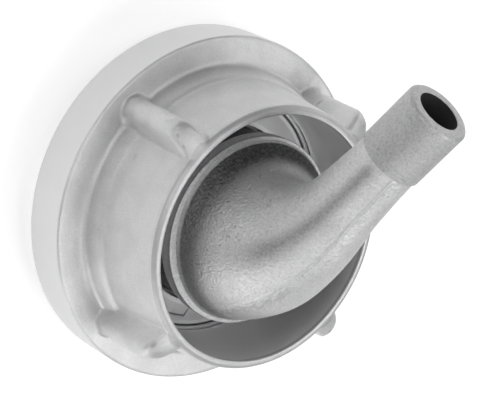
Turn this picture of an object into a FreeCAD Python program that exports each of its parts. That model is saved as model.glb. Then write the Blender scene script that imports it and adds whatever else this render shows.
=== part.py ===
import FreeCAD, Part
import Sketcher
import math
import os

# Quarter turn fire hose coupling with an angled pipe tail.
# Z is the coupling axis, with z = 0 at the feet of the two lugs that the part stands on.
# The lugs stand on the Y axis, and the four wrench ribs lie half way between the axes.

SIZES = {
    # Coupling ring
    "lug_spacing": 66.0,
    "lug_height": 7.0,
    "lug_wall": 4.3,
    "lug_reach": 4.0,
    "lug_hook": 3.2,
    "lug_arc": 44.0,
    "flange_depth": 13.8,
    "front_rim_depth": 3.2,
    "rim_gap": 1.2,
    "channel_depth": 4.1,
    "hook_gap": 2.7,
    "flange_wall": 5.0,
    "entry_arc": 50.0,
    "entry_angle": 46.0,
    "flange_chamfer": 0.7,
    "ledge_width": 1.2,
    "ledge_height": 2.2,
    "skirt_height": 26.2,
    "skirt_foot_wall": 4.5,
    "skirt_rim_wall": 2.3,
    "rim_chamfer": 0.9,
    "band_height": 5.4,
    "band_step": 1.1,
    "rib_stand": 7.5,
    "rib_back_radius": 3.7,
    "rib_root_width": 10.4,
    "rib_draft": 1.2,
    "rib_gap": 2.2,
    "rib_slope": 2.4,
    "rib_foot_radius": 5.5,
    "rib_foot_rise": 3.2,
    # Retaining parts in the bore
    "wire_width": 1.5,
    "wire_sunk": 0.8,
    "wire_fit": 0.1,
    "wire_gap_arc": 14.0,
    "half_ring_edge": 1.7,
    "half_ring_rise": 2.6,
    "half_ring_split": 0.5,
    "half_ring_step": 5.0,
    # Pipe tail
    "seat_clearance": 0.5,
    "axial_clearance": 0.3,
    "bore_clearance": 0.3,
    "collar_depth": 2.2,
    "seat_sink": 0.6,
    "nose_wall": 2.9,
    "neck_wall": 3.3,
    "lip_step": 1.6,
    "lip_depth": 4.0,
    "lip_height": 18.2,
    "mouth_wall": 4.1,
    "hood_share_1": 0.81,
    "hood_share_2": 0.601,
    "hood_share_3": 0.386,
    "hood_share_4": 0.221,
    "hood_share_5": 0.074,
    "hood_wall": 2.6,
    "bend_angle": 56.5,
    "bend_radius": 33.5,
    "bend_rise": 1.0,
    "pipe_middle_dia": 18.2,
    "pipe_dia": 17.0,
    "pipe_length": 21.5,
    "nozzle_dia": 18.2,
    "nozzle_length": 18.3,
    "nozzle_bore": 11.8,
    "nozzle_chamfer": 0.7,
    "tail_turn": -104.5,
    # Gasket
    "gasket_width": 6.5,
    "gasket_depth": 8.0,
    "gasket_proud": 0.5,
    "gasket_foot": 1.6,
    "gasket_foot_depth": 2.6,
    "gasket_fit": 0.2,
}

doc = FreeCAD.newDocument("Coupling")
sheet = doc.addObject("Spreadsheet::Sheet", "Dims")
for row, (name, size) in enumerate(SIZES.items(), start=1):
    sheet.set(f"A{row}", name)
    sheet.set(f"B{row}", str(size))
    sheet.setAlias(f"B{row}", name)
doc.recompute()


def number(word):
    amount = SIZES[word.lstrip("-")] if word.lstrip("-") in SIZES else float(word.lstrip("-"))
    return -amount if word.startswith("-") else amount


def value(text):
    """Work out a length such as 'lug_height + wire_width / 2 - 0.3'."""
    total = 0.0
    for term in text.replace(" - ", " + -").split(" + "):
        words = term.split()
        amount = number(words[0])
        for sign, word in zip(words[1::2], words[2::2]):
            amount = amount * number(word) if sign == "*" else amount / number(word)
        total += amount
    return total


def formula(text):
    """Write the same length as an expression on the sheet."""
    return " ".join("Dims." + word if word in SIZES else word for word in text.split())


def body(name):
    made = doc.addObject("PartDesign::Body", name)
    made.Label = name
    return made


def plane(owner, role):
    return next(item for item in owner.Origin.OriginFeatures if item.Role == role)


def sketch(owner, name, role="XZ_Plane"):
    made = owner.newObject("Sketcher::SketchObject", name)
    made.AttachmentSupport = [(plane(owner, role), "")]
    made.MapMode = "FlatFace"
    return made


def pin(target, kind, args, text):
    """Add one constraint whose size follows the sheet."""
    index = target.addConstraint(Sketcher.Constraint(kind, *args, value(text)))
    target.setExpression(f"Constraints[{index}]", formula(text))


def place_point(target, line, end, across, up):
    """Hold one corner of a profile at (across, up) from the sketch's origin."""
    for text, kind, axis in ((across, "DistanceX", -2), (up, "DistanceY", -1)):
        if abs(value(text)) < 1e-9:
            target.addConstraint(Sketcher.Constraint("PointOnObject", line, end, axis))
        else:
            pin(target, kind, (-1, 1, line, end), text)


def outline(target, corners):
    """Draw a closed profile through corners given as (across, up) lengths."""
    spots = [FreeCAD.Vector(value(across), value(up), 0) for across, up in corners]
    first = target.GeometryCount
    for place, spot in enumerate(spots):
        target.addGeometry(Part.LineSegment(spot, spots[(place + 1) % len(spots)]), False)
    for place, (across, up) in enumerate(corners):
        before = first + (place - 1) % len(corners)
        target.addConstraint(Sketcher.Constraint("Coincident", before, 2, first + place, 1))
        place_point(target, first + place, 1, across, up)


def disc(target, radius):
    circle = target.addGeometry(Part.Circle(FreeCAD.Vector(), FreeCAD.Vector(0, 0, 1), value(radius)), False)
    target.addConstraint(Sketcher.Constraint("Coincident", circle, 3, -1, 1))
    pin(target, "Radius", (circle,), radius)


def round_backed(target, root, half_width, centre, radius):
    """Draw a bar's plan: straight sides from the root that run into a round back."""
    across, side, middle, back = (value(text) for text in (root, half_width, centre, radius))
    corners = [(across, -side), (middle, -back), (middle, back), (across, side)]
    low, touch_low, touch_high, high = (FreeCAD.Vector(*corner, 0) for corner in corners)
    circle = Part.Circle(FreeCAD.Vector(middle, 0, 0), FreeCAD.Vector(0, 0, 1), back)
    target.addGeometry(Part.LineSegment(low, touch_low), False)
    target.addGeometry(Part.ArcOfCircle(circle, -math.pi / 2, math.pi / 2), False)
    target.addGeometry(Part.LineSegment(touch_high, high), False)
    target.addGeometry(Part.LineSegment(high, low), False)
    target.addConstraint([
        Sketcher.Constraint("Tangent", 0, 2, 1, 1),
        Sketcher.Constraint("Tangent", 1, 2, 2, 1),
        Sketcher.Constraint("Coincident", 2, 2, 3, 1),
        Sketcher.Constraint("Coincident", 3, 2, 0, 1),
    ])
    place_point(target, 0, 1, root, minus(half_width))
    place_point(target, 3, 1, root, half_width)
    place_point(target, 1, 3, centre, "0")
    pin(target, "Radius", (1,), radius)


def minus(text):
    """The same length on the other side of the origin."""
    return "0 - " + text.replace(" - ", " ~ ").replace(" + ", " - ").replace(" ~ ", " + ")


def times(text, factor):
    """Every term of a sum of lengths, times one factor."""
    return text.replace(" + ", f" * {factor} + ").replace(" - ", f" * {factor} - ") + f" * {factor}"


def turned(owner, kind, name, profile, angle=360.0, axis="V_Axis"):
    """Revolve or groove a profile about the sketch's upright axis."""
    made = owner.newObject(f"PartDesign::{kind}", name)
    made.Profile = profile
    made.ReferenceAxis = (profile, [axis])
    made.Angle = angle
    return made


def round_edges(feature, radius):
    """Names of the feature's full circles of one radius."""
    names = []
    for place, edge in enumerate(feature.Shape.Edges, start=1):
        circle = isinstance(edge.Curve, Part.Circle) and abs(edge.Curve.Radius - radius) < 1e-4
        if circle and abs(edge.Length - 2 * math.pi * radius) < 1e-3:
            names.append(f"Edge{place}")
    return names


def ring_pattern(owner, name, features, count):
    made = owner.newObject("PartDesign::PolarPattern", name)
    made.Originals = features
    made.Axis = (plane(owner, "Z_Axis"), [""])
    made.Angle = 360.0
    made.Occurrences = count
    owner.Tip = made
    doc.recompute()
    return made


# Radii that several pieces share, outwards and inwards from the lugs
LUG_FACE = "lug_spacing / 2"
LUG_BACK = "lug_spacing / 2 + lug_wall"
BORE = "lug_spacing / 2 + ledge_width"
CHANNEL_WALL = LUG_BACK + " + lug_reach + hook_gap"
FLANGE = CHANNEL_WALL + " + flange_wall"
NOSE = "lug_spacing / 2 - seat_clearance"
FOOT = NOSE + " - nose_wall"
WATERWAY = FOOT + " - gasket_foot - gasket_fit - gasket_width"
NECK = WATERWAY + " + neck_wall"
MOUTH = WATERWAY + " + mouth_wall"
PIPE = "pipe_middle_dia / 2"

# Heights that several pieces share
FACE = "lug_height"
CHANNEL = "lug_height + front_rim_depth"
LEDGE = CHANNEL + " + channel_depth"
SEAT = LEDGE + " + ledge_height"
BACK = "lug_height + flange_depth"
RIM = BACK + " + skirt_height"
COLLAR = SEAT + " + axial_clearance"
COLLAR_TOP = COLLAR + " + collar_depth"
RETAINER = COLLAR_TOP + " + axial_clearance"
RETAINER_TOP = RETAINER + " + half_ring_edge"
LIP = BACK + " + lip_height"

# Coupling ring, one casting: flange, skirt, lugs and wrench ribs
ring = body("lug_ring")

section = sketch(ring, "RingSection")
outline(section, [
    (LUG_FACE, LEDGE),
    (CHANNEL_WALL, LEDGE),
    (CHANNEL_WALL, CHANNEL),
    (LUG_BACK + " + rim_gap", CHANNEL),
    (LUG_BACK + " + rim_gap", FACE),
    (FLANGE, FACE),
    (FLANGE, BACK),
    (BORE + " + skirt_foot_wall + band_step + 1.2", BACK),
    (BORE + " + skirt_foot_wall + band_step", BACK + " + 1.2"),
    (BORE + " + skirt_foot_wall + band_step", BACK + " + band_height - 0.8"),
    (BORE + " + skirt_foot_wall", BACK + " + band_height"),
    (BORE + " + skirt_rim_wall", RIM + " - rim_chamfer"),
    (BORE + " + skirt_rim_wall - rim_chamfer", RIM),
    (BORE, RIM),
    (BORE, SEAT),
    (LUG_FACE, SEAT),
])
blank = turned(ring, "Revolution", "RingTurned", section)
doc.recompute()
flange_edges = ring.newObject("PartDesign::Chamfer", "FlangeEdges")
flange_edges.Base = (blank, round_edges(blank, value(FLANGE)))
flange_edges.setExpression("Size", "Dims.flange_chamfer")
doc.recompute()

# Two lugs stand on the web and hook outwards over the mate's front rim
lug_section = sketch(ring, "LugSection", "YZ_Plane")
outline(lug_section, [
    (LUG_FACE, "0"),
    (LUG_BACK + " + lug_reach", "0"),
    (LUG_BACK + " + lug_reach", "lug_hook - 0.6"),
    (LUG_BACK, "lug_hook"),
    (LUG_BACK, LEDGE + " + 0.5"),
    (LUG_FACE, LEDGE + " + 0.5"),
])
lug = turned(ring, "Revolution", "Lug", lug_section)
lug.Midplane = True
lug.setExpression("Angle", "Dims.lug_arc * 1 deg")
doc.recompute()
ring_pattern(ring, "Lugs", [lug], 2)

# Two gaps in the front rim let the mate's lugs in beside each lug
entry_section = sketch(ring, "EntrySection", "YZ_Plane")
outline(entry_section, [
    (LUG_BACK + " + rim_gap / 2", FACE + " - 1"),
    (CHANNEL_WALL, FACE + " - 1"),
    (CHANNEL_WALL, CHANNEL + " + 0.5"),
    (LUG_BACK + " + rim_gap / 2", CHANNEL + " + 0.5"),
])
entry_section.AttachmentOffset = FreeCAD.Placement(
    FreeCAD.Vector(), FreeCAD.Rotation(FreeCAD.Vector(0, 1, 0), SIZES["entry_angle"]))
entry_section.setExpression("AttachmentOffset.Rotation.Angle", "Dims.entry_angle * 1 deg")
entry = turned(ring, "Groove", "EntryGap", entry_section)
entry.Midplane = True
entry.setExpression("Angle", "Dims.entry_arc * 1 deg")
doc.recompute()
ring_pattern(ring, "EntryGaps", [entry], 2)

# Four wrench ribs: a tall bar with a rounded back and some draft, a sloped end and a round foot
RIB_TOP = RIM + " - rib_gap"
rib_plan = sketch(ring, "RibPlan", "XY_Plane")
round_backed(
    rib_plan, BORE + " + skirt_rim_wall / 2", "rib_root_width / 2", BORE + " + rib_stand", "rib_back_radius")
rib_plan.AttachmentOffset = FreeCAD.Placement(
    FreeCAD.Vector(0, 0, value(BACK + " - 0.5")), FreeCAD.Rotation(FreeCAD.Vector(0, 0, 1), 45))
rib_plan.setExpression("AttachmentOffset.Base.z", formula(BACK + " - 0.5"))
rib = ring.newObject("PartDesign::Pad", "Rib")
rib.Profile = rib_plan
rib.setExpression("Length", "Dims.skirt_height - Dims.rib_gap + 0.5")
rib.setExpression("TaperAngle", "0 deg - Dims.rib_draft * 1 deg")
doc.recompute()

rib_end = sketch(ring, "RibEndSection")
outline(rib_end, [
    (BORE + " + skirt_rim_wall + 0.8", RIB_TOP),
    (BORE + " + rib_stand + rib_back_radius / 2", RIB_TOP + " - rib_slope"),
    (BORE + " + rib_stand + rib_back_radius + 1", RIB_TOP + " - rib_slope * 2.5"),
    (BORE + " + rib_stand + rib_back_radius + 1", RIB_TOP + " + 1"),
    (BORE + " + skirt_rim_wall + 0.8", RIB_TOP + " + 1"),
])
rib_slope = ring.newObject("PartDesign::Pocket", "RibEnd")
rib_slope.Profile = rib_end
rib_slope.Midplane = True
rib_slope.setExpression("Length", "Dims.rib_root_width + 4")
doc.recompute()

foot_section = sketch(ring, "RibFootSection")
outline(foot_section, [
    (BORE + " + rib_stand - 0.5", BACK + " - 0.5"),
    (BORE + " + rib_stand - 0.5 + rib_foot_radius", BACK + " - 0.5"),
    (BORE + " + rib_stand - 0.5 + rib_foot_radius", BACK + " + 0.3"),
    (BORE + " + rib_stand + rib_back_radius", BACK + " + rib_foot_rise"),
    (BORE + " + rib_stand - 0.5", BACK + " + rib_foot_rise"),
])
foot_axis = foot_section.addGeometry(Part.LineSegment(
    FreeCAD.Vector(value(BORE + " + rib_stand - 0.5"), value(BACK), 0),
    FreeCAD.Vector(value(BORE + " + rib_stand - 0.5"), value(RIM), 0)), True)
place_point(foot_section, foot_axis, 1, BORE + " + rib_stand - 0.5", BACK)
place_point(foot_section, foot_axis, 2, BORE + " + rib_stand - 0.5", RIM)
rib_foot = turned(ring, "Revolution", "RibFoot", foot_section, 360.0, "Axis0")
for lying in (rib_end, foot_section):
    lying.AttachmentOffset = FreeCAD.Placement(
        FreeCAD.Vector(), FreeCAD.Rotation(FreeCAD.Vector(0, 1, 0), 45))
doc.recompute()
ring_pattern(ring, "Ribs", [rib, rib_slope, rib_foot], 4)

# Square groove in the bore for the retaining wire
groove_section = sketch(ring, "GrooveSection")
outline(groove_section, [
    (BORE + " - 1", RETAINER_TOP),
    (BORE + " + wire_sunk", RETAINER_TOP),
    (BORE + " + wire_sunk", RETAINER_TOP + " + wire_width + wire_fit"),
    (BORE + " - 1", RETAINER_TOP + " + wire_width + wire_fit"),
])
turned(ring, "Groove", "WireGroove", groove_section)
doc.recompute()

# Pipe tail, one casting: seat, collar, neck, lip, hood, pipe and nozzle
tail = body("elbow_tail")

seat_section = sketch(tail, "SeatSection")
outline(seat_section, [
    ("0", "lug_height + seat_sink"),
    (NOSE, "lug_height + seat_sink"),
    (NOSE, COLLAR),
    (BORE + " - bore_clearance", COLLAR),
    (BORE + " - bore_clearance", COLLAR_TOP),
    (NECK, COLLAR_TOP),
    (NECK, LIP + " - lip_depth"),
    (NECK + " + lip_step", LIP + " - lip_depth"),
    (NECK + " + lip_step", LIP),
    ("0", LIP),
])
turned(tail, "Revolution", "SeatTurned", seat_section)
doc.recompute()


def station(name, radius, share, run=""):
    """Circle square to the bend, at a share of the bend angle and then a straight run."""
    made = sketch(tail, name, "XY_Plane")
    disc(made, radius)
    angle = math.radians(SIZES["bend_angle"] * share)
    spot = FreeCAD.Vector(
        SIZES["bend_radius"] * (1 - math.cos(angle)), 0,
        value(LIP) + SIZES["bend_rise"] + SIZES["bend_radius"] * math.sin(angle))
    made.AttachmentOffset = FreeCAD.Placement(
        spot, FreeCAD.Rotation(FreeCAD.Vector(0, 1, 0), math.degrees(angle)))
    turn = f"(Dims.bend_angle * {share} * 1 deg)"
    along = formula(run) if run else "0"
    made.setExpression(
        "AttachmentOffset.Base.x", f"Dims.bend_radius * (1 - cos{turn}) + ({along}) * sin{turn}")
    made.setExpression(
        "AttachmentOffset.Base.z",
        f"{formula(LIP)} + Dims.bend_rise + Dims.bend_radius * sin{turn} + ({along}) * cos{turn}")
    made.setExpression("AttachmentOffset.Rotation.Angle", turn)
    return made


def lip_circle(name, radius):
    made = sketch(tail, name, "XY_Plane")
    disc(made, radius)
    made.AttachmentOffset = FreeCAD.Placement(FreeCAD.Vector(0, 0, value(LIP)), FreeCAD.Rotation())
    made.setExpression("AttachmentOffset.Base.z", formula(LIP))
    return made


# Hood: the wide mouth narrows through the bend into the pipe. Along the bend its radius lies
# between the mouth's and the pipe's, at a share that falls from station to station.
BEND = []
for place, share in enumerate((0.15, 0.35, 0.55, 0.75, 1.0), start=1):
    wide = f"hood_share_{place}"
    BEND.append((place, share, PIPE + " + " + times(MOUTH, wide) + " - " + times(PIPE, wide)))

outside = [lip_circle("HoodMouth", MOUTH)]
for place, share, radius in BEND:
    outside.append(station(f"Hood{place}", radius, share))
outside.append(station("PipeMiddle", PIPE, 1.0, "pipe_length / 2"))
outside.append(station(
    "PipeNarrow", PIPE + " / 2 + pipe_dia / 4", 1.0, "pipe_length / 2 + pipe_length / 4"))
outside.append(station("PipeEnd", "pipe_dia / 2", 1.0, "pipe_length + 2"))
hood = tail.newObject("PartDesign::AdditiveLoft", "Hood")
hood.Profile = outside[0]
hood.Sections = outside[1:]
doc.recompute()

# Nozzle: the thicker plain end that a pipe or fitting is pushed or screwed on
nozzle_foot = station("NozzleFoot", "nozzle_dia / 2", 1.0, "pipe_length")
nozzle = tail.newObject("PartDesign::Pad", "Nozzle")
nozzle.Profile = nozzle_foot
nozzle.setExpression("Length", "Dims.nozzle_length")
doc.recompute()
end_edges = round_edges(nozzle, SIZES["nozzle_dia"] / 2)
highest = max(end_edges, key=lambda name: nozzle.Shape.getElement(name).CenterOfMass.z)
nozzle_edge = tail.newObject("PartDesign::Chamfer", "NozzleEdge")
nozzle_edge.Base = (nozzle, [highest])
nozzle_edge.setExpression("Size", "Dims.nozzle_chamfer")
doc.recompute()

# Waterway: a straight mouth, the inside of the hood and the bore of the nozzle
mouth_section = sketch(tail, "MouthSection")
outline(mouth_section, [
    ("0", "lug_height - 1"),
    (WATERWAY, "lug_height - 1"),
    (WATERWAY, LIP),
    ("0", LIP),
])
turned(tail, "Groove", "Mouth", mouth_section)
doc.recompute()

inside = [lip_circle("InsideMouth", WATERWAY)]
for place, share, radius in BEND:
    inside.append(station(f"Inside{place}", radius + " - hood_wall", share))
inside.append(station("InsideMiddle", PIPE + " - hood_wall", 1.0, "pipe_length / 2"))
inside.append(station("InsideEnd", "nozzle_bore / 2", 1.0, "pipe_length + 1"))
hollow = tail.newObject("PartDesign::SubtractiveLoft", "Hollow")
hollow.Profile = inside[0]
hollow.Sections = inside[1:]
hollow.Ruled = True
doc.recompute()

bore_foot = station("BoreFoot", "nozzle_bore / 2", 1.0, "pipe_length / 2")
bore = tail.newObject("PartDesign::Pocket", "NozzleBore")
bore.Profile = bore_foot
bore.Reversed = True
bore.setExpression("Length", "Dims.pipe_length / 2 + Dims.nozzle_length + 1")
doc.recompute()

# Gasket seat in the face of the nose, with an undercut for the gasket's foot
gasket_seat = sketch(tail, "GasketSeat")
GROOVE = WATERWAY + " + gasket_width + gasket_fit"
FLOOR = "lug_height - gasket_proud + gasket_depth"
outline(gasket_seat, [
    (WATERWAY, "lug_height - 1"),
    (GROOVE, "lug_height - 1"),
    (GROOVE, FLOOR + " - gasket_foot_depth - gasket_fit"),
    (FOOT, FLOOR + " - gasket_foot_depth - gasket_fit"),
    (FOOT, FLOOR + " + gasket_fit"),
    (WATERWAY, FLOOR + " + gasket_fit"),
])
turned(tail, "Groove", "GasketGroove", gasket_seat)
doc.recompute()
tail.Placement = FreeCAD.Placement(
    FreeCAD.Vector(), FreeCAD.Rotation(FreeCAD.Vector(0, 0, 1), SIZES["tail_turn"]))
tail.setExpression("Placement.Rotation.Angle", "Dims.tail_turn * 1 deg")

# Gasket: moulded rubber ring with a flat face and a foot that snaps into the undercut
gasket = body("gasket")
gasket_section = sketch(gasket, "GasketSection")
outline(gasket_section, [
    (WATERWAY, "lug_height - gasket_proud + 0.8"),
    (WATERWAY + " + 0.8", "lug_height - gasket_proud"),
    (GROOVE + " - gasket_fit", "lug_height - gasket_proud"),
    (GROOVE + " - gasket_fit", FLOOR + " - gasket_foot_depth"),
    (FOOT + " - gasket_fit", FLOOR + " - gasket_foot_depth"),
    (FOOT + " - gasket_fit", FLOOR),
    (WATERWAY, FLOOR),
])
turned(gasket, "Revolution", "GasketTurned", gasket_section)
doc.recompute()

# Retaining half rings: they are laid round the neck one by one, on top of the collar
halves = []
STEP = NECK + " + half_ring_step"
for place, turn in ((1, 0.0), (2, 180.0)):
    half = body(f"half_ring_{place}")
    half_section = sketch(half, f"HalfSection{place}", "XZ_Plane")
    outline(half_section, [
        (NECK + " + 1", RETAINER),
        (BORE + " - 0.1", RETAINER),
        (BORE + " - 0.1", RETAINER_TOP),
        (BORE + " - wire_width - 0.6", RETAINER_TOP),
        (NECK + " + 2.2", RETAINER_TOP + " + half_ring_rise"),
        (NECK + " + 1", RETAINER_TOP + " + half_ring_rise"),
    ])
    turned(half, "Revolution", f"HalfTurned{place}", half_section)
    doc.recompute()
    # The joint is stepped: each half reaches past the middle on the outer part of one end
    cut = sketch(half, f"HalfCut{place}", "XY_Plane")
    outline(cut, [
        (FLANGE, minus("half_ring_split / 2")),
        (STEP, minus("half_ring_split / 2")),
        (STEP, minus("half_ring_split / 2 + half_ring_step")),
        ("0", minus("half_ring_split / 2 + half_ring_step")),
        (minus(STEP + " + half_ring_split"), minus("half_ring_split / 2 + half_ring_step")),
        (minus(STEP + " + half_ring_split"), "half_ring_split / 2"),
        (minus(FLANGE), "half_ring_split / 2"),
        (minus(FLANGE), FLANGE),
        (FLANGE, FLANGE),
    ])
    away = half.newObject("PartDesign::Pocket", f"HalfAway{place}")
    away.Profile = cut
    away.Type = "ThroughAll"
    away.Midplane = True
    half.Tip = away
    doc.recompute()
    half.Placement = FreeCAD.Placement(FreeCAD.Vector(), FreeCAD.Rotation(FreeCAD.Vector(0, 0, 1), turn + 76.3))
    halves.append(half)

# Retaining wire: a square spring wire ring, open by a small gap, sprung into the groove
wire = body("snap_ring")
wire_section = sketch(wire, "WireSection")
outline(wire_section, [
    (BORE + " + wire_sunk - wire_width", RETAINER_TOP + " + wire_fit / 2"),
    (BORE + " + wire_sunk", RETAINER_TOP + " + wire_fit / 2"),
    (BORE + " + wire_sunk", RETAINER_TOP + " + wire_width + wire_fit / 2"),
    (BORE + " + wire_sunk - wire_width", RETAINER_TOP + " + wire_width + wire_fit / 2"),
])
coil = turned(wire, "Revolution", "WireRing", wire_section)
coil.setExpression("Angle", "360 deg - Dims.wire_gap_arc * 1 deg")
doc.recompute()

doc.recompute()
for item in doc.Objects:
    if "Invalid" in item.State or "Error" in item.State:
        raise RuntimeError(f"{item.Label} did not build: {item.State}")

os.makedirs("parts", exist_ok=True)
for piece in [ring, tail, gasket, *halves, wire]:
    shape = piece.Shape
    if shape.isNull() or not shape.isValid() or len(shape.Solids) != 1:
        raise RuntimeError(f"{piece.Label} is not one valid solid")
    box = shape.BoundBox
    print(f"{piece.Label}: {shape.Volume:.1f} mm3, x {box.XMin:.2f} {box.XMax:.2f}, "
          f"y {box.YMin:.2f} {box.YMax:.2f}, z {box.ZMin:.2f} {box.ZMax:.2f}")
    shape.exportStep(f"parts/{piece.Label}.step")
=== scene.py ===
import bpy
import math
import numpy as np
from mathutils import Matrix, Vector


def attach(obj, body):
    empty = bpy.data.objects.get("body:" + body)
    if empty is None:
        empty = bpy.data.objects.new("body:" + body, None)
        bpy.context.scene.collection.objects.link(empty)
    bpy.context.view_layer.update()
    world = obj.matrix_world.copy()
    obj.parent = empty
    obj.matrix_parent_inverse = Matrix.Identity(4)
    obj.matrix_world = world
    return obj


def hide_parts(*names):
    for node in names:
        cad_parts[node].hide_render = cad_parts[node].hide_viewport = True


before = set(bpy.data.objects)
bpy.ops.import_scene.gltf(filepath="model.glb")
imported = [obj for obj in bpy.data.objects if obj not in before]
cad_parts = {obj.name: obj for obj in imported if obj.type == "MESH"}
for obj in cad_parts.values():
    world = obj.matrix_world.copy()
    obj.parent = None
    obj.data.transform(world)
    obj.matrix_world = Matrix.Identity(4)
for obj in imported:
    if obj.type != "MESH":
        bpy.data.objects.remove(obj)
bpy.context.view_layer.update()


# Coupling ring. One aluminium casting: a deep flange with an undercut channel behind its front rim,
# two hooked lugs on the face, a skirt with four tall wrench ribs, and a bore with a wire groove.
# It is blasted to a fine satin, and then turned on the flange's side and in the bore.
MM = 0.001
LUG_CENTRES, LUG_HALF_ARC = (90.0, 270.0), 22.0
GAP_CENTRES, GAP_HALF_ARC = (136.0, 316.0), 25.0
RIB_CENTRES, RIB_REACH = (45.0, 135.0, 225.0, 315.0), 12.1
LUG_FACE, LUG_BACK, LUG_TIP = 33.0, 37.3, 41.3
FRONT_RIM, CHANNEL_WALL, FLANGE, STEP, BORE = 38.5, 44.0, 48.98, 41.0, 34.2
FACE, CHANNEL, WEB, LEDGE, BACK, RIM = 7.0, 10.2, 14.3, 16.5, 20.8, 47.0
GROOVE, GROOVE_LOW, GROOVE_HIGH = 35.0, 21.0, 22.6
# Heights between which painted shade comes on down the bore.
BORE_SHADE_FROM, BORE_SHADE_TO = 36, 23
OUTER_WALL = 35.3
HOOK = ((LUG_FACE, 0.0), (LUG_TIP, 0.0), (LUG_TIP, 2.6), (LUG_BACK, 3.2), (LUG_BACK, WEB))
BARE_WEB = ((LUG_FACE, WEB), (34.5, WEB), (35.5, WEB), (36.5, WEB), (37.5, WEB))
BAND_TOP, SKIRT_FOOT, SKIRT_WAIST = (39.5, 25.2), (38.6, 26.4), (37.3, 39.0)
SKIRT_TOP, RIM_SHOULDER, RIM_EDGE = (36.8, 45.0), (36.5, 46.1), (35.6, RIM)


def softened(corners):
    """A closed outline from corners (across, up, cut, steps): each corner is rounded over its cut length."""
    arcs = []
    for place, (across, up, cut, steps) in enumerate(corners):
        here = np.array((across, up))
        if cut == 0:
            arcs.append(here[None])
            continue
        ends = []
        for other in (corners[place - 1], corners[(place + 1) % len(corners)]):
            way = np.array(other[:2]) - here
            length = np.hypot(*way)
            ends.append(here + way / length * min(cut, 0.45 * length))
        share = np.linspace(0, 1, 5)[:, None]
        arcs.append((1 - share) ** 2 * ends[0] + 2 * share * (1 - share) * here + share ** 2 * ends[1])
    points = []
    for place, arc in enumerate(arcs):
        points.append(arc)
        share = np.linspace(0, 1, corners[place][3] + 1)[1:-1, None]
        points.append(arc[-1] + (arcs[(place + 1) % len(arcs)][0] - arc[-1]) * share)
    return np.concatenate(points)


def apart(turn, centre):
    """The angle from a centre to a turn about the axis, between -180 and 180 degrees."""
    return (turn - centre + 180) % 360 - 180


def ring_outline(turn):
    """The ring's cross-section at one turn: lugs and entry gaps come and go along the front."""
    lug = min(abs(apart(turn, centre)) for centre in LUG_CENTRES) <= LUG_HALF_ARC
    gap = min(abs(apart(turn, centre)) for centre in GAP_CENTRES) <= GAP_HALF_ARC
    rim_edge, rim_back = (CHANNEL_WALL, CHANNEL - 1.0) if gap else (FRONT_RIM, CHANNEL)
    front = [
        (*corner, cut, steps)
        for corner, cut, steps in zip(HOOK if lug else BARE_WEB, (0.4, 0.6, 0.4, 0.4, 0.5), (3, 2, 3, 4, 3))]
    return softened(front + [
        (CHANNEL_WALL, WEB, 0.6, 2), (CHANNEL_WALL, CHANNEL, 0.3, 3),
        (rim_edge, rim_back, 0.3, 2), (rim_edge, FACE, 0.4, 4),
        (FLANGE, FACE, 0.7, 8), (FLANGE, BACK, 0.9, 10), (STEP, BACK, 1.3, 6),
        (*BAND_TOP, 0.9, 3), (*SKIRT_FOOT, 0.8, 28), (*SKIRT_WAIST, 0.1, 26), (*SKIRT_TOP, 0.1, 2),
        (*RIM_SHOULDER, 0.4, 1), (*RIM_EDGE, 0.5, 1), (BORE, RIM, 0.5, 8),
        (BORE, GROOVE_HIGH, 0.05, 1), (GROOVE, GROOVE_HIGH, 0.05, 1),
        (GROOVE, GROOVE_LOW, 0.05, 1), (BORE, GROOVE_LOW, 0.05, 2),
        (BORE, LEDGE, 0.3, 1), (LUG_FACE, LEDGE, 0.2, 4)])


def turned(name, outlines, turns):
    """A closed mesh from one outline (across, up) in millimetres at each turn in degrees."""
    wide = np.radians(turns)[:, None]
    across, up = outlines[..., 0], outlines[..., 1]
    points = np.stack([across * np.cos(wide), across * np.sin(wide), up + 0 * wide], axis=-1) * MM
    columns, rows = points.shape[:2]
    column, row = np.meshgrid(np.arange(columns), np.arange(rows), indexing="ij")
    beside, above = (column + 1) % columns, (row + 1) % rows
    quads = np.stack(
        [column * rows + row, beside * rows + row, beside * rows + above, column * rows + above], axis=-1)
    quads = quads.reshape(-1, 4)
    points = points.reshape(-1, 3)
    first, second, third, fourth = (points[quads[:, corner]] for corner in range(4))
    inside_out = np.sum(first * (np.cross(second, third) + np.cross(third, fourth))) < 0
    mesh = bpy.data.meshes.new(name)
    mesh.from_pydata(points.tolist(), [], (quads[:, ::-1] if inside_out else quads).tolist())
    piece = bpy.data.objects.new(name, mesh)
    bpy.context.scene.collection.objects.link(piece)
    return piece


# The columns stand closer together at the ribs, and in pairs at each end of a lug or an entry gap.
columns = {float(turn) for turn in np.arange(0, 360, 2.0)}
for centre in RIB_CENTRES:
    columns |= {centre + side * step for side in (-1, 1) for step in np.arange(0, RIB_REACH, 0.42)}
for centres, half_arc in ((LUG_CENTRES, LUG_HALF_ARC), (GAP_CENTRES, GAP_HALF_ARC)):
    columns |= {
        centre + side * (half_arc + step) for centre in centres for side in (-1, 1) for step in (0, 0.03)}
ring_turns = sorted(columns)
ring = turned("coupling_ring", np.array([ring_outline(turn) for turn in ring_turns]), ring_turns)
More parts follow.
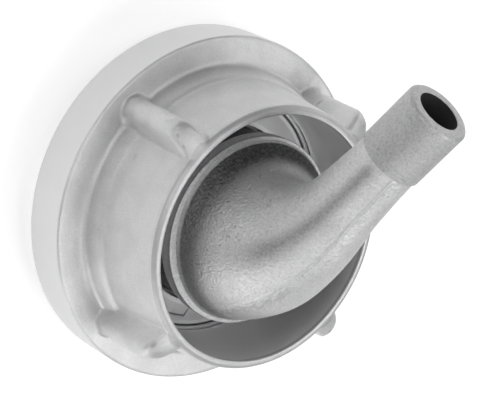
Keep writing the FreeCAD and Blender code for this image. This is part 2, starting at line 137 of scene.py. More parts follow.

# Shrink hollows on the ribs' ends and feet, dented and painted with shade; the last three are wide pools of
# painted shade on the ribs' end faces: turn, level, half width in degrees, half height, strength.
SHRINK_HOLLOWS_AND_SHADE = (
    (317.2, 43.2, 0.9, 0.45, 0.8), (318.8, 44.5, 0.7, 0.30, 0.7), (41.5, 43.9, 0.9, 0.45, 0.8),
    (134.0, 44.0, 1.0, 0.35, 0.8), (230.5, 28.4, 0.5, 0.35, 0.7), (330.5, 28.6, 0.5, 0.40, 0.8),
    (315.0, 43.6, 4.0, 1.50, 0.45), (45.0, 43.6, 4.0, 1.50, 0.35), (225.0, 43.6, 4.0, 1.50, 0.35))
places = np.array([point.co for point in ring.data.vertices]) / MM
around = np.degrees(np.arctan2(places[:, 1], places[:, 0]))
hollows_and_shade = np.zeros(len(places))
for centre, level, wide, high, strength in SHRINK_HOLLOWS_AND_SHADE:
    fall = (apart(around, centre) / wide) ** 2 + ((places[:, 2] - level) / high) ** 2
    hollows_and_shade = np.maximum(hollows_and_shade, strength * np.exp(-fall))
hollows_and_shade[np.hypot(places[:, 0], places[:, 1]) < OUTER_WALL] = 0.0
ring.data.attributes.new("hollow_dents_and_painted_shade", "FLOAT", "POINT").data.foreach_set("value", hollows_and_shade)


class Signal:
    """A node's output that can stand in a sum or a product, which adds the Math nodes for it."""

    def __init__(self, tree, socket):
        self.tree, self.socket = tree, socket

    def maths(self, operation, *terms):
        node = self.tree.nodes.new("ShaderNodeMath")
        node.operation = operation
        for plug, term in zip(node.inputs, terms):
            if isinstance(term, Signal):
                self.tree.links.new(term.socket, plug)
            else:
                plug.default_value = term
        return Signal(self.tree, node.outputs[0])

    def __add__(self, other):
        return self.maths("ADD", self, other)

    def __sub__(self, other):
        return self.maths("SUBTRACT", self, other)

    def __rsub__(self, other):
        return self.maths("SUBTRACT", other, self)

    def __mul__(self, other):
        return self.maths("MULTIPLY", self, other)

    def __truediv__(self, other):
        return self.maths("DIVIDE", self, other)

    def __gt__(self, other):
        return self.maths("GREATER_THAN", self, other)

    def __lt__(self, other):
        return self.maths("LESS_THAN", self, other)

    __radd__ = __add__
    __rmul__ = __mul__

    def at_least(self, other, blend=0.0):
        return self.maths("SMOOTH_MAX", self, other, blend) if blend else self.maths("MAXIMUM", self, other)

    def at_most(self, other, blend=0.0):
        return self.maths("SMOOTH_MIN", self, other, blend) if blend else self.maths("MINIMUM", self, other)

    def sine(self):
        return self.maths("SINE", self)

    def cosine(self):
        return self.maths("COSINE", self)

    def bearing(self, across):
        return self.maths("ARCTAN2", self, across)

    def wrapped(self, half):
        return self.maths("WRAP", self, half, 0.0 - half)

    def unsigned(self):
        return self.maths("ABSOLUTE", self)

    def root(self):
        return self.maths("SQRT", self.at_least(0.0))


class Plan:
    """A node tree to which nodes are added by type."""

    def node(self, kind, settings=None, out=0, **plugs):
        """One node: its type, its settings, and the values or links of its sockets by name or number."""
        node = self.tree.nodes.new(kind)
        for key, setting in (settings or {}).items():
            setattr(node, key, setting)
        for key, item in plugs.items():
            plug = node.inputs[int(key[1:]) if key[1:].isdigit() else key.replace("_", " ")]
            if isinstance(item, Signal):
                self.tree.links.new(item.socket, plug)
            else:
                plug.default_value = item
        return Signal(self.tree, node.outputs[out])


class Finish(Plan):
    """The material of one of the part's finishes."""

    def __init__(self, name, metallic, roughness, specular=0.5):
        self.material = bpy.data.materials.new(name)
        self.material.use_nodes = True
        self.tree = self.material.node_tree
        self.surface = self.tree.nodes["Principled BSDF"]
        self.surface.inputs["Metallic"].default_value = metallic
        self.surface.inputs["Roughness"].default_value = roughness
        self.surface.inputs["Specular IOR Level"].default_value = specular
        self.place = self.node("ShaderNodeTexCoord", out="Object")

    def height(self):
        """Height above the lugs' faces."""
        return self.node("ShaderNodeSeparateXYZ", Vector=self.place, out="Z")

    def from_axis(self):
        """Distance from the coupling's axis."""
        level = self.node("ShaderNodeVectorMath", {"operation": "MULTIPLY"}, i0=self.place, i1=(1.0, 1.0, 0.0))
        return self.node("ShaderNodeVectorMath", {"operation": "LENGTH"}, out="Value", i0=level)

    def grain(self, size, detail=2.0, seed=0.0, stretch=(1.0, 1.0, 1.0)):
        """Soft noise whose lumps are about one size across, in millimetres."""
        lying = self.node("ShaderNodeMapping", Vector=self.place, Location=(seed, seed, seed), Scale=stretch)
        return self.node("ShaderNodeTexNoise", Vector=lying, Scale=1000.0 / size, Detail=detail, Roughness=0.6)

    def step(self, signal, low, high):
        """A step from 0 to 1 while the signal goes from low to high."""
        return self.node("ShaderNodeMapRange", {"clamp": True}, Value=signal, From_Min=low, From_Max=high)

    def tint(self, share, first, second):
        return self.node("ShaderNodeMix", {"data_type": "RGBA"}, out=2, Factor=share, i6=first, i7=second)

    def marked(self, name):
        """A share from 0 to 1 that the mesh carries on its points."""
        return self.node("ShaderNodeAttribute", {"attribute_name": name}, out="Fac")

    def dents(self, height, depth):
        """Turn a height signal into dents of a depth in millimetres."""
        return self.node("ShaderNodeBump", Height=height, Distance=depth * MM, Strength=1.0)

    def feed(self, **plugs):
        for key, item in plugs.items():
            self.tree.links.new(item.socket, self.surface.inputs[key.replace("_", " ")])

    def wear_on(self, piece):
        piece.data.materials.clear()
        piece.data.materials.append(self.material)


BLAST_DARK, BLAST_LIGHT = (0.62, 0.62, 0.625, 1), (0.72, 0.72, 0.725, 1)
SPECK_GREY, WAVE_GREY = (0.50, 0.50, 0.505, 1), (0.48, 0.48, 0.485, 1)
HOLLOW_SHADE_GREY, RIM_SHADE_GREY = (0.20, 0.20, 0.202, 1), (0.42, 0.42, 0.424, 1)
BORE_GREY, BORE_SHADE_GREY = (0.76, 0.76, 0.765, 1), (0.60, 0.60, 0.603, 1)
SHADOW_BLACK = (0.04, 0.04, 0.042, 1)

fine_cast = Finish("blasted_cast_aluminium", metallic=0.85, roughness=0.5)
height, radius = fine_cast.height(), fine_cast.from_axis()
in_bore = (radius < (BORE + 0.5) * MM) * (height > (LEDGE - 1.5) * MM)
in_groove = (radius < (GROOVE + 0.2) * MM) * (
    height > (GROOVE_LOW - 0.1) * MM) * (height < (GROOVE_HIGH + 0.15) * MM)
on_rim = height > (RIM - 1.2) * MM
below_rim = height < (RIM - 1.2) * MM
turned_side = in_bore.at_least(radius > (FLANGE - 0.08) * MM)
cast = 1.0 - turned_side
cloud = fine_cast.grain(16.0, seed=0.3)
speck = fine_cast.grain(0.45, detail=3.0)
lumps = fine_cast.grain(2.4, seed=0.7)
waves = fine_cast.grain(7.0, detail=1.0, seed=0.5)
tool_lines = fine_cast.grain(60.0, detail=3.0, stretch=(1.0, 1.0, 150.0))
hollow_and_shade = fine_cast.marked("hollow_dents_and_painted_shade")
satin = fine_cast.tint(cloud, BLAST_DARK, BLAST_LIGHT)
satin = fine_cast.tint(fine_cast.step(speck, 0.40, 0.68) * cast * 0.35, satin, SPECK_GREY)
satin = fine_cast.tint(fine_cast.step(waves, 0.42, 0.62) * cast * 0.2, satin, WAVE_GREY)
# The hollows are painted dark grey: painted shade in the dents and over the ribs' end faces.
satin = fine_cast.tint(hollow_and_shade * 0.8, satin, HOLLOW_SHADE_GREY)
# The rim's top is painted a darker grey: painted shade that damps its highlight.
satin = fine_cast.tint(on_rim * 0.6, satin, RIM_SHADE_GREY)
satin = fine_cast.tint(in_bore * below_rim, satin, BORE_GREY)
# The bore is painted darker further down towards the half rings: painted shade deep in the bore.
bore_shade = fine_cast.step(height, BORE_SHADE_FROM * MM, BORE_SHADE_TO * MM)
satin = fine_cast.tint(in_bore * bore_shade, satin, BORE_SHADE_GREY)
fine_cast.feed(
    Base_Color=fine_cast.tint(in_groove, satin, SHADOW_BLACK),
    Roughness=0.46 + cloud * 0.10 + speck * 0.10 - turned_side * 0.10,
    Normal=fine_cast.dents(
        cast * (speck * 0.9 + lumps * 1.2 + waves * 2.2 - hollow_and_shade * 3.0) + turned_side * tool_lines * 0.15,
        0.10))


class Shaping(Plan):
    """A Geometry Nodes tree with named sizes, run on a piece and kept as its plain mesh."""

    def __init__(self, name, sizes):
        self.tree = bpy.data.node_groups.new(name, "GeometryNodeTree")
        self.sizes = sizes
        for way in ("INPUT", "OUTPUT"):
            self.tree.interface.new_socket("Geometry", in_out=way, socket_type="NodeSocketGeometry")
        self.sockets = {
            label: self.tree.interface.new_socket(
                label, in_out="INPUT", socket_type="NodeSocketFloat").identifier
            for label in sizes}
        self.given = self.tree.nodes.new("NodeGroupInput")
        self.mesh = Signal(self.tree, self.given.outputs["Geometry"])
        self.place = self.node("ShaderNodeSeparateXYZ", Vector=self.node("GeometryNodeInputPosition"))

    def size(self, label):
        return Signal(self.tree, self.given.outputs[label])

    def coordinate(self, axis):
        return Signal(self.tree, self.place.socket.node.outputs[axis])

    def moved(self, x, y, z):
        spot = self.node("ShaderNodeCombineXYZ", X=x, Y=y, Z=z)
        return self.node("GeometryNodeSetPosition", Geometry=self.mesh, Position=spot)

    def finish(self, piece, shape, finish, sharp=38.0):
        """Close the tree, run it on the piece and keep the mesh that it gives."""
        real = self.node("GeometryNodeRealizeInstances", Geometry=shape)
        dressed = self.node("GeometryNodeSetMaterial", Geometry=real, Material=finish.material)
        self.tree.links.new(dressed.socket, self.tree.nodes.new("NodeGroupOutput").inputs[0])
        modifier = piece.modifiers.new(self.tree.name, "NODES")
        modifier.node_group = self.tree
        for label, size in self.sizes.items():
            modifier[self.sockets[label]] = size
        bpy.context.view_layer.update()
        mesh = bpy.data.meshes.new_from_object(piece.evaluated_get(bpy.context.evaluated_depsgraph_get()))
        piece.modifiers.clear()
        piece.data = mesh
        mesh.shade_smooth()
        mesh.set_sharp_from_angle(angle=math.radians(sharp))


# The ribs are drawn out of the skirt's own points. A rib has a round back, which its leaning sides meet
# at a share of the back's radius; an end that slopes down to the skirt under a bevel; and a flared foot.
SIDE_MEETS_OUT, SIDE_MEETS_ASIDE = 0.217, 0.976
ribs = Shaping("wrench_ribs", {
    "Rib Spacing": math.radians(90), "First Rib": math.radians(45),
    "Back Centre": 41.7 * MM, "Back Radius": 3.7 * MM, "Root Radius": 35.4 * MM, "Root Half Width": 5.2 * MM,
    "Side Lean": 0.222, "Draft": 0.021,
    "Foot Height": BACK * MM, "Foot Flare": 1.1 * MM, "Foot Rise": 3.0 * MM,
    "End Height": 46.0 * MM, "End Radius": 37.3 * MM, "End Slope": 2.6, "End Crown": 45.0,
    "Bevel Radius": 43.55 * MM, "Bevel Drop": 2.4 * MM, "Bevel Slope": 0.79, "Bevel Crown": 90.0,
    "End Softness": 6.0 * MM, "Bevel Softness": 5.0 * MM, "Fillet": 1.6 * MM,
    "Cast Unevenness": 0.9 * MM, "Lumps Per Metre": 330.0,
    "Step Radius": STEP * MM, "Flange Radius": 48.3 * MM})
x, y, z = (ribs.coordinate(axis) for axis in "XYZ")
spot_radius = (x * x + y * y).root()
sideways = (y.bearing(x) - ribs.size("First Rib")).wrapped(ribs.size("Rib Spacing") * 0.5).unsigned()
risen = (z - ribs.size("Foot Height")).at_least(0.0)
above_foot = (1.0 - risen / ribs.size("Foot Rise")).at_least(0.0)
flare = ribs.size("Foot Flare") * above_foot * above_foot
drawn_in = risen * ribs.size("Draft") - flare
lean = ribs.size("Side Lean")
back_centre = ribs.size("Back Centre") - flare * 0.7
back_radius = ribs.size("Back Radius") - drawn_in
offset = back_centre * sideways.sine()
back = back_centre * sideways.cosine() + (back_radius * back_radius - offset * offset).root()
side = (ribs.size("Root Half Width") - drawn_in + ribs.size("Root Radius") * lean) / (
    sideways.sine() + sideways.cosine() * lean)
past_back = sideways.sine() * (back_centre + back_radius * SIDE_MEETS_OUT) > (
    sideways.cosine() * back_radius * SIDE_MEETS_ASIDE)
below_end = ribs.size("End Height") - z
slope = ribs.size("End Radius") + (
    below_end - offset * offset * ribs.size("End Crown")) * ribs.size("End Slope")
bevel = ribs.size("Bevel Radius") + (
    below_end - offset * offset * ribs.size("Bevel Crown") - ribs.size("Bevel Drop")) * ribs.size("Bevel Slope")
bar = back * (1.0 - past_back) + side * past_back
bar = bar.at_most(slope, ribs.size("End Softness")).at_most(bevel, ribs.size("Bevel Softness"))
uneven = ribs.node(
    "ShaderNodeTexNoise", Vector=ribs.node("GeometryNodeInputPosition"), Scale=ribs.size("Lumps Per Metre"),
    Detail=2.0) - 0.5
bar = bar + uneven * ribs.size("Cast Unevenness")
step_radius = spot_radius.at_most(ribs.size("Step Radius"))
grown = step_radius.at_least(bar, ribs.size("Fillet")) - step_radius
room = (ribs.size("Flange Radius") - spot_radius) / (ribs.size("Flange Radius") - ribs.size("Step Radius"))
on_back = (z > (BACK - 0.01) * MM) * (spot_radius > OUTER_WALL * MM)
stretch = 1.0 + grown * room.at_least(0.0).at_most(1.0) * on_back / spot_radius
ribs.finish(ring, ribs.moved(x * stretch, y * stretch, z), fine_cast)
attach(ring, "ring")
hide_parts("lug_ring")


# Retaining half rings. Two cast aluminium halves laid round the neck of the tail, with stepped joints:
# each half starts with a tongue on its outer part and ends with one on its inner part.
# They lie on the tail's collar, and the spring wire above them keeps them in the bore.
JOINT, TONGUE, JOINT_GAP, JOINT_STEP = 80.4, 9.6, 1.2, 0.02
UNDER, EDGE, TOP = 19.3, 21.0, 23.6
WHOLE = ((25.6, UNDER), (34.1, UNDER), (34.1, EDGE), (32.1, EDGE), (26.8, TOP), (25.6, TOP))
INNER_TONGUE = ((25.6, UNDER), (30.05, UNDER), (30.05, 21.99), (30.04, 22.0), (26.8, TOP), (25.6, TOP))
OUTER_TONGUE = ((30.7, UNDER), (34.1, UNDER), (34.1, EDGE), (32.1, EDGE), (30.71, 21.69), (30.7, 21.68))
CUT_DARK, CUT_LIGHT = (0.86, 0.86, 0.865, 1), (0.93, 0.93, 0.935, 1)

cut_metal = Finish("cut_aluminium", metallic=0.2, roughness=0.5)
haze = cut_metal.grain(6.0, seed=0.6)
scratch = cut_metal.grain(0.5, detail=3.0, seed=0.8)
under_wire = cut_metal.step(cut_metal.from_axis(), 32.8 * MM, 33.2 * MM)
cut_metal.feed(
    Base_Color=cut_metal.tint(under_wire, cut_metal.tint(haze, CUT_DARK, CUT_LIGHT), SHADOW_BLACK),
    Roughness=0.45 + scratch * 0.2,
    Normal=cut_metal.dents(scratch, 0.03))
for name, first in (("half_ring_1", JOINT + 180), ("half_ring_2", JOINT)):
    last = first + 180 - JOINT_GAP
    sections = [(turn, OUTER_TONGUE) for turn in np.linspace(first - TONGUE, first, 7)]
    sections += [(turn, WHOLE) for turn in np.linspace(first + JOINT_STEP, last - TONGUE, 85)]
    sections += [(turn, INNER_TONGUE) for turn in np.linspace(last - TONGUE + JOINT_STEP, last, 7)]
    points = [
        (across * math.cos(math.radians(turn)) * MM, across * math.sin(math.radians(turn)) * MM, up * MM)
        for turn, corners in sections for across, up in corners]
    count = len(WHOLE)
    faces = [
        [column * count + row, (column + 1) * count + row,
         (column + 1) * count + (row + 1) % count, column * count + (row + 1) % count]
        for column in range(len(sections) - 1) for row in range(count)]
    faces += [list(range(count)), list(range(len(points) - 1, len(points) - count - 1, -1))]
    mesh = bpy.data.meshes.new(name + "_laid")
    mesh.from_pydata(points, [], faces)
    half = bpy.data.objects.new(name + "_laid", mesh)
    bpy.context.scene.collection.objects.link(half)
    mesh.shade_smooth()
    mesh.set_sharp_from_angle(angle=math.radians(20))
    cut_metal.wear_on(half)
    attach(half, "ring")
    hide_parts(name)


# Retaining wire. A ring of square spring steel wire, drawn bright and open by a small gap.
# It is sprung into the groove of the ring's bore, above the half rings.
WIRE_DARK, WIRE_LIGHT = (0.80, 0.80, 0.81, 1), (0.92, 0.92, 0.93, 1)

drawn_wire = Finish("drawn_spring_wire", metallic=0.6, roughness=0.3)
streak = drawn_wire.grain(0.4)
drawn_wire.feed(
    Base_Color=drawn_wire.tint(streak, WIRE_DARK, WIRE_LIGHT),
    Roughness=0.25 + streak * 0.2,
    Normal=drawn_wire.dents(streak, 0.02))
wire = bpy.data.objects.new("retaining_wire", bpy.data.meshes.new("retaining_wire"))
bpy.context.scene.collection.objects.link(wire)
coil = Shaping("sprung_wire", {
    "Wire Radius": 33.95 * MM, "Wire Width": 0.9 * MM, "Wire Arc": math.radians(346), "Wire Height": 21.6 * MM})
path = coil.node(
    "GeometryNodeCurveArc", {"mode": "RADIUS"}, Resolution=160, Radius=coil.size("Wire Radius"),
    Start_Angle=0.0, Sweep_Angle=coil.size("Wire Arc"))
square = coil.node(
    "GeometryNodeCurvePrimitiveQuadrilateral", Width=coil.size("Wire Width"), Height=coil.size("Wire Width"))
swept = coil.node("GeometryNodeCurveToMesh", Curve=path, Profile_Curve=square, Fill_Caps=True)
lifted = coil.node(
    "GeometryNodeTransform", Geometry=swept,
    Translation=coil.node("ShaderNodeCombineXYZ", Z=coil.size("Wire Height")))
coil.finish(wire, lifted, drawn_wire)
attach(wire, "ring")
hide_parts("snap_ring")


# Pipe tail. One rough sand casting: a seat nose with the gasket's groove, a collar, a neck with a lip,
# a hood that bends and narrows into a pipe, and a thicker plain nozzle end. It is turned straight here
# and then bent. A mould parting line runs along it, a little off the back of the bend.
BEND_START, BEND_RADIUS, BEND_ANGLE = 40.0, 33.5, math.radians(56.5)
BEND_RUN = BEND_RADIUS * BEND_ANGLE
PIPE_RUN, NOZZLE_RUN = 21.5, 18.3
LIP_FOOT, LIP = 35.0, 39.0
PIPE_END = BEND_START + BEND_RUN + PIPE_RUN
NOZZLE_END = PIPE_END + NOZZLE_RUN
SEAT, COLLAR, COLLAR_LAND, NECK, LIP_EDGE, NOZZLE = 28.0, 32.5, 33.9, 24.6, 26.2, 9.1
SEAT_FACE, COLLAR_STEP, COLLAR_TOP = 7.6, 16.8, 19.0
GASKET_GROOVE, GASKET_GROOVE_LOW, GASKET_GROOVE_HIGH = 29.6, 11.7, 14.7
HOOD_STATIONS = np.array(
    [LIP] + [BEND_START + BEND_RUN * share for share in (0.15, 0.35, 0.55, 0.75, 1.0)]
    + [PIPE_END - PIPE_RUN / 2, PIPE_END])
HOOD_RADII = np.array([24.2, 22.1, 18.9, 15.4, 12.7, 10.3, 9.1, 8.5])
WATERWAY_RADII = np.array([21.3, 19.7, 16.3, 12.8, 10.1, 7.7, 6.5, 5.9])
HOOD_MOUTH, PIPE = HOOD_RADII[0], HOOD_RADII[-1]
WATERWAY_MOUTH, WATERWAY_END = WATERWAY_RADII[0], WATERWAY_RADII[-1]
# Turns about the tail before it is bent: the parting line's two sides, the widest part of the lip's ledge, the
# side of the hood by the lip with the most painted shade, the painted dark reflection strip on the pipe, and
# that on the nozzle.
PARTING, WIDE_LEDGE, SHADE_SIDE, PIPE_REFLECTION_STRIP, NOZZLE_REFLECTION_STRIP = (158.0, 338.0), 120, 20, 116, 122


def smooth_run(stations, values, at):
    """A smooth curve through the values at the stations."""
    slopes = np.gradient(values, stations)
    place = np.clip(np.searchsorted(stations, at) - 1, 0, len(stations) - 2)
    width = stations[place + 1] - stations[place]
    share = (at - stations[place]) / width
    rest = 1 - share
    return (values[place] * rest ** 2 * (1 + 2 * share) + values[place + 1] * share ** 2 * (1 + 2 * rest)
            + slopes[place] * width * share * rest ** 2 - slopes[place + 1] * width * rest * share ** 2)


outside = np.linspace(LIP + 0.8, PIPE_END - 0.4, 90)
within = np.linspace(PIPE_END - 0.5, LIP + 0.5, 40)
straight = softened(
    [(SEAT, SEAT_FACE, 0.3, 2), (COLLAR, SEAT_FACE, 0.5, 3), (COLLAR, COLLAR_STEP, 0.3, 1),
     (COLLAR_LAND, COLLAR_STEP, 0.3, 1), (COLLAR_LAND, COLLAR_TOP, 0.3, 3),
     (NECK, COLLAR_TOP, 0.6, 6), (NECK, LIP_FOOT, 0.4, 1), (LIP_EDGE, LIP_FOOT, 0.5, 3),
     (LIP_EDGE, LIP, 0.3, 1), (HOOD_MOUTH, LIP, 0.2, 1)]
    + [(across, run, 0, 1) for across, run in zip(smooth_run(HOOD_STATIONS, HOOD_RADII, outside), outside)]
    + [(PIPE, PIPE_END, 0.1, 1), (NOZZLE, PIPE_END + 0.05, 0.1, 16), (NOZZLE, NOZZLE_END - 0.7, 0.3, 1),
       (NOZZLE - 0.7, NOZZLE_END, 0.3, 2), (WATERWAY_END, NOZZLE_END, 0.25, 8)]
    + [(across, run, 0, 1) for across, run in zip(smooth_run(HOOD_STATIONS, WATERWAY_RADII, within), within)]
    + [(WATERWAY_MOUTH, LIP, 0, 8), (WATERWAY_MOUTH, GASKET_GROOVE_HIGH, 0.1, 3),
       (GASKET_GROOVE, GASKET_GROOVE_HIGH, 0.1, 1), (GASKET_GROOVE, GASKET_GROOVE_LOW, 0.1, 1),
       (SEAT, GASKET_GROOVE_LOW, 0.1, 3)])
across, up = straight[:, 0], straight[:, 1]
tail_turns = sorted({float(turn) for turn in np.arange(0, 360, 2.5)}
                    | {centre + step for centre in PARTING for step in np.arange(-9, 9.1, 0.75)})
inner_wall = across < smooth_run(HOOD_STATIONS, WATERWAY_RADII, np.clip(up, LIP, PIPE_END)) + 0.4
inner_wall &= (up > 15) & (up < NOZZLE_END - 0.1)
on_neck = (up > COLLAR_TOP + 0.5) & (up < LIP_FOOT - 0.3) & (across > 24)
on_hood = ~inner_wall & (up > LIP + 1) & (up < PIPE_END - 0.6)
on_nozzle = ~inner_wall & (up > PIPE_END) & (up < NOZZLE_END - 0.8)
by_lip = ~inner_wall & (up > LIP - 0.25) & (up < LIP + 7) & (across < HOOD_MOUTH + 0.1)
on_ledge = ~inner_wall & (up > LIP - 0.5) & (up <= LIP + 0.1) & (across > 23.8)
outlines, scars, shade_rows = [], [], []
for turn in tail_turns:
    off_line = across * math.sin(math.radians(turn - PARTING[0]))
    ridge = np.where(on_hood, np.interp(up, (48, 64), (0.10, 0.34)) * np.exp(-(off_line / 0.45) ** 2), 0.0)
    wider = 1.1 * (1 - math.exp(-((turn - WIDE_LEDGE) / 45) ** 2)) * by_lip * np.clip(1 - (up - LIP) / 7, 0, 1)
    outlines.append(np.stack([across + ridge + wider, up], axis=-1))
    scarred = on_hood & (up < 68) & (90 < turn < 270) & (off_line > -0.5)
    scars.append(scarred * np.clip(1.5 - abs(off_line - 2.6) / 2.2, 0, 1) * np.clip((66 - up) / 8, 0, 1))
    # Painted shade on the hood by the lip, deepest on one side; painted dark reflection strips along the pipe
    # and the nozzle; the neck under the lip painted as if in full shade, and the lip's ledge a little.
    shade_side_share = 0.5 + 0.5 * math.cos(math.radians(turn - SHADE_SIDE))
    shade_reach = 3.6 + 8.0 * shade_side_share ** 1.5
    fading = np.clip((1.3 - (up - LIP) / shade_reach) / 0.8, 0, 1)
    hood_shade = (0.3 + 0.7 * shade_side_share) * fading * fading * (3 - 2 * fading)
    along_pipe = np.clip((up - 50) / 8, 0, 1) * np.clip((PIPE_END - up) / 3, 0, 1)
    pipe_reflection = 0.50 * along_pipe * math.exp(-((turn - PIPE_REFLECTION_STRIP) / 11) ** 2)
    nozzle_reflection = 0.22 * math.exp(-((turn - NOZZLE_REFLECTION_STRIP) / 24) ** 2)
    shade_here = np.where(on_hood, np.maximum(hood_shade, pipe_reflection), np.where(on_nozzle, nozzle_reflection, 0.0))
    shade_rows.append(np.where(on_neck, 1.0, np.where(on_ledge, 0.3, shade_here)))
tail = turned("pipe_tail", np.array(outlines), tail_turns)
for name, shares in (
        ("inner_wall", np.tile(inner_wall, len(tail_turns))), ("parting_scar", np.concatenate(scars)),
        ("painted_shade_and_reflection", np.concatenate(shade_rows)), ("nozzle", np.tile(up > PIPE_END, len(tail_turns)))):
    tail.data.attributes.new(name, "FLOAT", "POINT").data.foreach_set("value", shares.astype(float))

SAND_DARK, SAND_LIGHT = (0.58, 0.58, 0.586, 1), (0.72, 0.72, 0.724, 1)
GRAIN_GREY, NOZZLE_GREY, PIT_GREY = (0.30, 0.30, 0.304, 1), (0.36, 0.36, 0.365, 1), (0.16, 0.16, 0.165, 1)
SHADE_AND_REFLECTION_BLACK, INSIDE_SHADE_BLACK = (0.05, 0.05, 0.052, 1), (0.014, 0.014, 0.015, 1)

rough_cast = Finish("rough_cast_aluminium", metallic=0.8, roughness=0.45)
patches = rough_cast.grain(10.0, seed=0.2)
sand = rough_cast.grain(0.7, detail=3.0, seed=0.5)
knobs = rough_cast.grain(1.8, detail=2.0, seed=0.9)
pits = rough_cast.step(rough_cast.grain(1.3, detail=1.0, seed=0.37), 0.68, 0.78)
inside = rough_cast.marked("inner_wall")
scar = rough_cast.marked("parting_scar") * rough_cast.grain(1.5, detail=2.0, seed=0.15, stretch=(1.5, 0.6, 1.0))
nozzle = rough_cast.marked("nozzle")
sanded = rough_cast.tint(patches, SAND_DARK, SAND_LIGHT)
sanded = rough_cast.tint(rough_cast.step(sand, 0.42, 0.70) * (0.32 + nozzle * 0.25), sanded, GRAIN_GREY)
sanded = rough_cast.tint(nozzle * 0.46, sanded, NOZZLE_GREY)
sanded = rough_cast.tint(pits * 0.2, sanded, PIT_GREY)
sanded = rough_cast.tint(rough_cast.step(scar, 0.40, 0.55) * 0.35, sanded, GRAIN_GREY)
# The hood, neck, ledge, pipe and nozzle are darkened here with painted shade and painted dark reflections.
sanded = rough_cast.tint(rough_cast.marked("painted_shade_and_reflection") * (0.72 + 0.5 * sand), sanded, SHADE_AND_REFLECTION_BLACK)
rough_cast.feed(
    # The waterway's inner wall is painted near black: painted shade inside the bore.
    Base_Color=rough_cast.tint(inside, sanded, INSIDE_SHADE_BLACK),
    Metallic=0.8 - inside * 0.8,
    Roughness=0.42 + patches * 0.08 + sand * 0.12 + inside * 0.4,
    Normal=rough_cast.dents(
        (sand * 1.6 + knobs * 0.9 - pits * 1.0) * (1.0 + nozzle * 0.3) + scar * 2.6, 0.17))

bend = Shaping("bent_tail", {
    "Bend Start": BEND_START * MM, "Bend Radius": BEND_RADIUS * MM, "Bend Angle": BEND_ANGLE,
    "Tail Turn": math.radians(-104.5)})
x, y, z = (bend.coordinate(axis) for axis in "XYZ")
start, bend_radius, most = bend.size("Bend Start"), bend.size("Bend Radius"), bend.size("Bend Angle")
tilt = ((z - start) / bend_radius).at_least(0.0).at_most(most)
past_bend = (z - start - bend_radius * most).at_least(0.0)
outward = bend_radius * (1.0 - tilt.cosine()) + past_bend * tilt.sine() + x * tilt.cosine()
upward = z.at_most(start) + bend_radius * tilt.sine() + past_bend * tilt.cosine() - x * tilt.sine()
cosine, sine = bend.size("Tail Turn").cosine(), bend.size("Tail Turn").sine()
bend.finish(tail, bend.moved(outward * cosine - y * sine, outward * sine + y * cosine, upward), rough_cast)
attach(tail, "tail")
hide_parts("elbow_tail")


# Gasket. A moulded ring of black rubber with a flat sealing face.
# Its foot snaps into the undercut groove of the tail's seat nose.
RUBBER_DARK, RUBBER_LIGHT = (0.018, 0.018, 0.02, 1), (0.045, 0.045, 0.048, 1)

gasket_outline = softened([
    (21.3, 7.3, 0.3, 1), (22.1, 6.5, 0.4, 3), (27.8, 6.5, 0.5, 2), (27.8, 11.9, 0.2, 1), (29.4, 11.9, 0.3, 1),
    (29.4, 14.5, 0.3, 4), (21.3, 14.5, 0.2, 3)])
gasket_turns = np.arange(0, 360, 2.0)
gasket = turned("face_gasket", np.repeat(gasket_outline[None], len(gasket_turns), axis=0), gasket_turns)
gasket.data.shade_smooth()
gasket.data.set_sharp_from_angle(angle=math.radians(38))
rubber = Finish("black_rubber", metallic=0.0, roughness=0.6, specular=0.4)
bloom = rubber.grain(5.0, detail=3.0)
moulded = rubber.grain(0.3, detail=1.0, seed=0.4)
rubber.feed(
    Base_Color=rubber.tint(bloom, RUBBER_DARK, RUBBER_LIGHT),
    Roughness=0.5 + bloom * 0.2,
    Normal=rubber.dents(moulded, 0.02))
rubber.wear_on(gasket)
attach(gasket, "tail")
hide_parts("gasket")


# Floor, camera and light. The coupling stands on its lugs on a plain white light table; the camera
# looks down on it past the nozzle, rolled so that the coupling's axis runs to the lower right.
FLOOR_DARK, FLOOR_LIGHT = (0.50, 0.50, 0.50, 1), (0.53, 0.53, 0.53, 1)
WHITE = (1, 1, 1, 1)

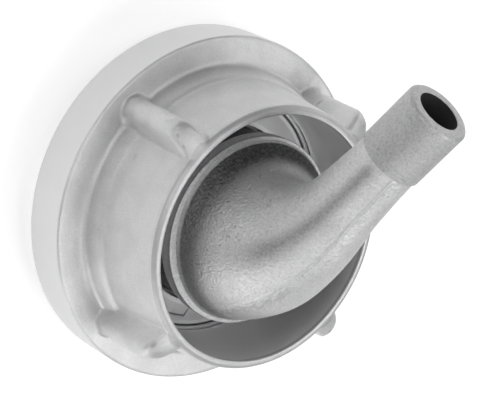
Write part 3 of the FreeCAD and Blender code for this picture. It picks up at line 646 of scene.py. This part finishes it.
bpy.ops.mesh.primitive_plane_add(size=6)
floor = bpy.context.object
floor.name = "floor"
paper = Finish("pale_floor", metallic=0.0, roughness=0.9, specular=0.1)
fibre = paper.grain(40.0, detail=1.0)
paper.feed(Base_Color=paper.tint(fibre, FLOOR_DARK, FLOOR_LIGHT))
paper.surface.inputs["Emission Color"].default_value = WHITE
paper.surface.inputs["Emission Strength"].default_value = 0.62
paper.wear_on(floor)

camera_right = Vector((-0.79296, -0.13510, 0.59400)).normalized()
camera_up = Vector((-0.06156, -0.95201, -0.29900))
camera_back = camera_right.cross(camera_up).normalized()
camera_up = camera_back.cross(camera_right)
lens = bpy.data.cameras.new("camera")
lens.sensor_width = 36.0
lens.lens = 145.45
camera = bpy.data.objects.new("camera", lens)
camera.matrix_world = Matrix.Translation((0.32345, -0.15369, 0.43440)) @ Matrix(
    (camera_right, camera_up, camera_back)).transposed().to_4x4()
bpy.context.scene.collection.objects.link(camera)
bpy.context.scene.camera = camera

# The soft lights, each 0.3 m square: azimuth and elevation in degrees, and power in watts.
LIGHT_SIZE, LIGHT_DISTANCE, PART_CENTRE = 0.3, 0.7, Vector((0, 0, 0.035))
for name, azimuth, elevation, power in (
        ("front_light", 60, 14, 1.42), ("high_front_light", 100, 62, 1.28),
        ("front_left_light", 120, 38, 0.56), ("high_left_light", 160, 62, 1.32),
        ("back_left_light", 210, 14, 0.80), ("high_back_light", 220, 62, 0.54),
        ("high_right_light", 280, 62, 0.78), ("camera_side_light", 336, 38, 1.42)):
    lamp = bpy.data.lights.new(name, "AREA")
    lamp.shape = "SQUARE"
    lamp.size = LIGHT_SIZE
    lamp.energy = power
    light = bpy.data.objects.new(name, lamp)
    wide, high = math.radians(azimuth), math.radians(elevation)
    way = Vector((math.cos(wide) * math.cos(high), math.sin(wide) * math.cos(high), math.sin(high)))
    light.matrix_world = Matrix.Translation(
        PART_CENTRE + LIGHT_DISTANCE * way) @ way.to_track_quat("Z", "Y").to_matrix().to_4x4()
    bpy.context.scene.collection.objects.link(light)

world = bpy.data.worlds.new("studio")
world.use_nodes = True
world.node_tree.nodes["Background"].inputs["Color"].default_value = WHITE
world.node_tree.nodes["Background"].inputs["Strength"].default_value = 0.02
bpy.context.scene.world = world
bpy.context.scene.view_settings.view_transform = "Standard"
